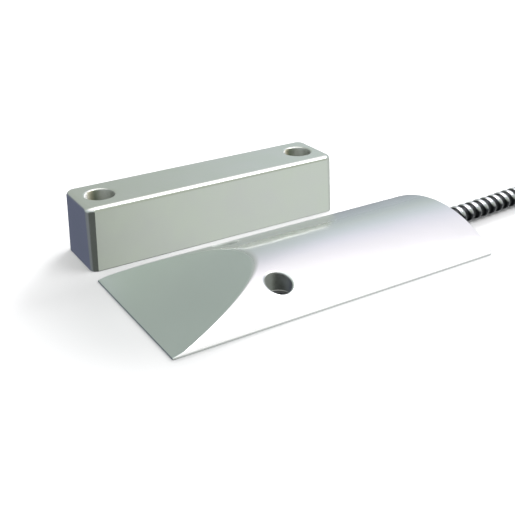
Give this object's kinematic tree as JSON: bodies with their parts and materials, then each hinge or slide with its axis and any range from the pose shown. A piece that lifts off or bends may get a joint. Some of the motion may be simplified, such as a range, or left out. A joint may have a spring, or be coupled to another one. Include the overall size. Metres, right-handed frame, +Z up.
{
  "type": "garage door magnetic contact",
  "caption": "Low ramped floor switch with a reed contact and an armoured steel lead, beside the magnet block that goes on the door.",
  "frame": {"origin": "on the floor, under the middle of the box round the switch and the magnet block", "axes": "+X along the switch from its ramp to its lead, +Y from the switch to the magnet block, +Z up"},
  "size_m": [0.2215, 0.0674, 0.0163],
  "materials": {
    "cast_aluminium": "smooth bright cast aluminium",
    "satin_aluminium": "satin cast aluminium with a warm green-grey tone",
    "galvanised_steel": "galvanised interlocked strip",
    "nickel_iron": "tinned nickel-iron",
    "tin": "bright solder",
    "green_glass": "clear green-tinted glass",
    "board_laminate": "green lacquered laminate",
    "black_resin": "cast black resin",
    "alnico": "ground sintered magnet alloy",
    "red_insulation": "red vinyl",
    "black_insulation": "black vinyl",
    "black_vinyl": "moulded black vinyl",
    "tie_nylon": "natural nylon"
  },
  "bodies": {
    "contact_set": {"switch_housing": "cast_aluminium", "reed_glass": "green_glass", "reed_board": "board_laminate", "reed_solder_left": "tin", "reed_solder_right": "tin", "wire_solder_red": "tin", "wire_solder_black": "tin", "inner_wire_red": "red_insulation", "inner_wire_black": "black_insulation", "conduit_clip": "galvanised_steel", "switch_potting": "black_resin", "conduit_run": "galvanised_steel", "conduit_coil": "galvanised_steel", "conduit_tail": "galvanised_steel", "conduit_bushing": "black_vinyl", "tail_wire_red": "red_insulation", "tail_wire_black": "black_insulation", "tail_tip_red": "tin", "tail_tip_black": "tin", "coil_tie": "tie_nylon", "magnet_housing": "satin_aluminium", "bar_magnet": "alnico", "magnet_potting": "black_resin"},
    "left_blade": {"reed_blade_left": "nickel_iron"},
    "right_blade": {"reed_blade_right": "nickel_iron"}
  },
  "joints": [
    {"name": "left_blade_bend", "type": "hinge", "parent": "contact_set", "child": "left_blade", "pos_m": [-0.00785, -0.01075, 0.00325], "axis": [0, 1, 0], "range_deg": [0, 0.9], "stiffness_Nm_per_rad": 0.04},
    {"name": "right_blade_bend", "type": "hinge", "parent": "contact_set", "child": "right_blade", "pos_m": [0.00375, -0.01075, 0.00325], "axis": [0, 1, 0], "range_deg": [0, 0.9], "stiffness_Nm_per_rad": 0.04}
  ]
}
